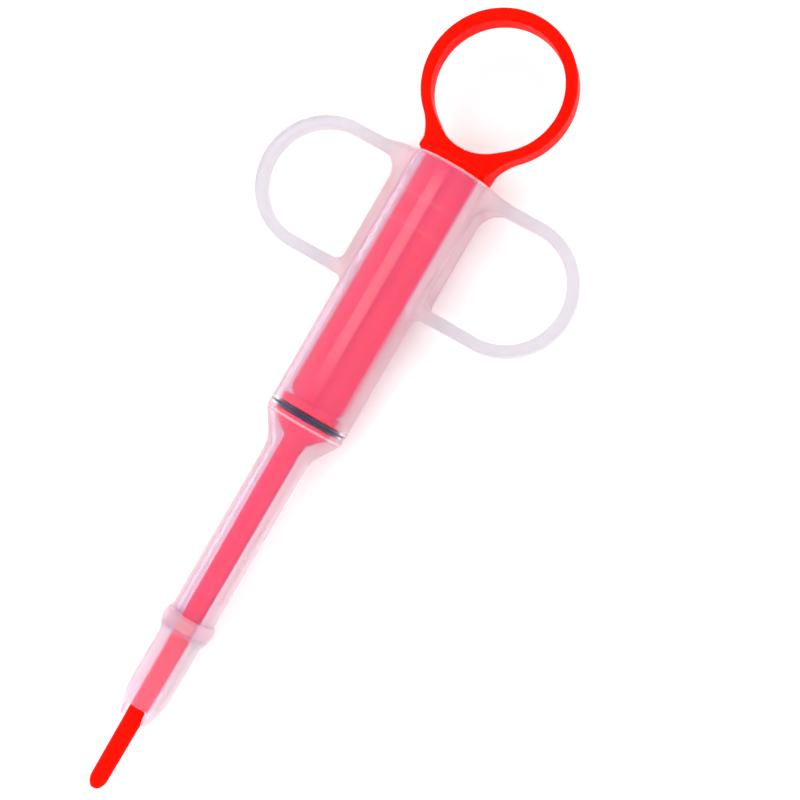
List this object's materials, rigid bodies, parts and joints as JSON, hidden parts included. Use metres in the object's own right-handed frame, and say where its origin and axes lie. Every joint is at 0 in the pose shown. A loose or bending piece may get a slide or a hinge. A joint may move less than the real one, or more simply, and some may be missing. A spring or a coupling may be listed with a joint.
{
  "type": "oral syringe",
  "caption": "Ring-handled oral dosing syringe with finger loops on a translucent barrel, a red plunger with a long push rod, a black O-ring seal and a soft split tip.",
  "frame": {"origin": "on the barrel axis, 43 mm ahead of the rear rim, in the plain cylinder between the finger loops and the shoulder", "axes": "+X along the barrel axis towards the tip, +Y across the two finger loops, +Z square to the plane of the loops"},
  "size_m": [0.1688, 0.0684, 0.0162],
  "materials": {
    "translucent_pp": "milky translucent moulded polypropylene, satin gloss",
    "red_pp": "bright red moulded polypropylene, gloss",
    "black_rubber": "black nitrile rubber, lightly oiled",
    "clear_silicone": "soft frosted clear silicone, satin"
  },
  "bodies": {
    "barrel": {"barrel": "translucent_pp"},
    "seal": {"o_ring": "black_rubber"},
    "plunger": {"plunger": "red_pp"},
    "tip": {"soft_tip": "clear_silicone"}
  },
  "joints": [
    {"name": "plunger_slide", "type": "slide", "parent": "barrel", "child": "seal", "axis": [-1, 0, 0], "range_m": [0, 0.05]},
    {"name": "plunger_twist", "type": "hinge", "parent": "seal", "child": "plunger", "pos_m": [0, 0, 0], "axis": [1, 0, 0], "continuous": true},
    {"name": "tip_pull", "type": "slide", "parent": "barrel", "child": "tip", "axis": [1, 0, 0], "range_m": [0, 0.04]}
  ]
}
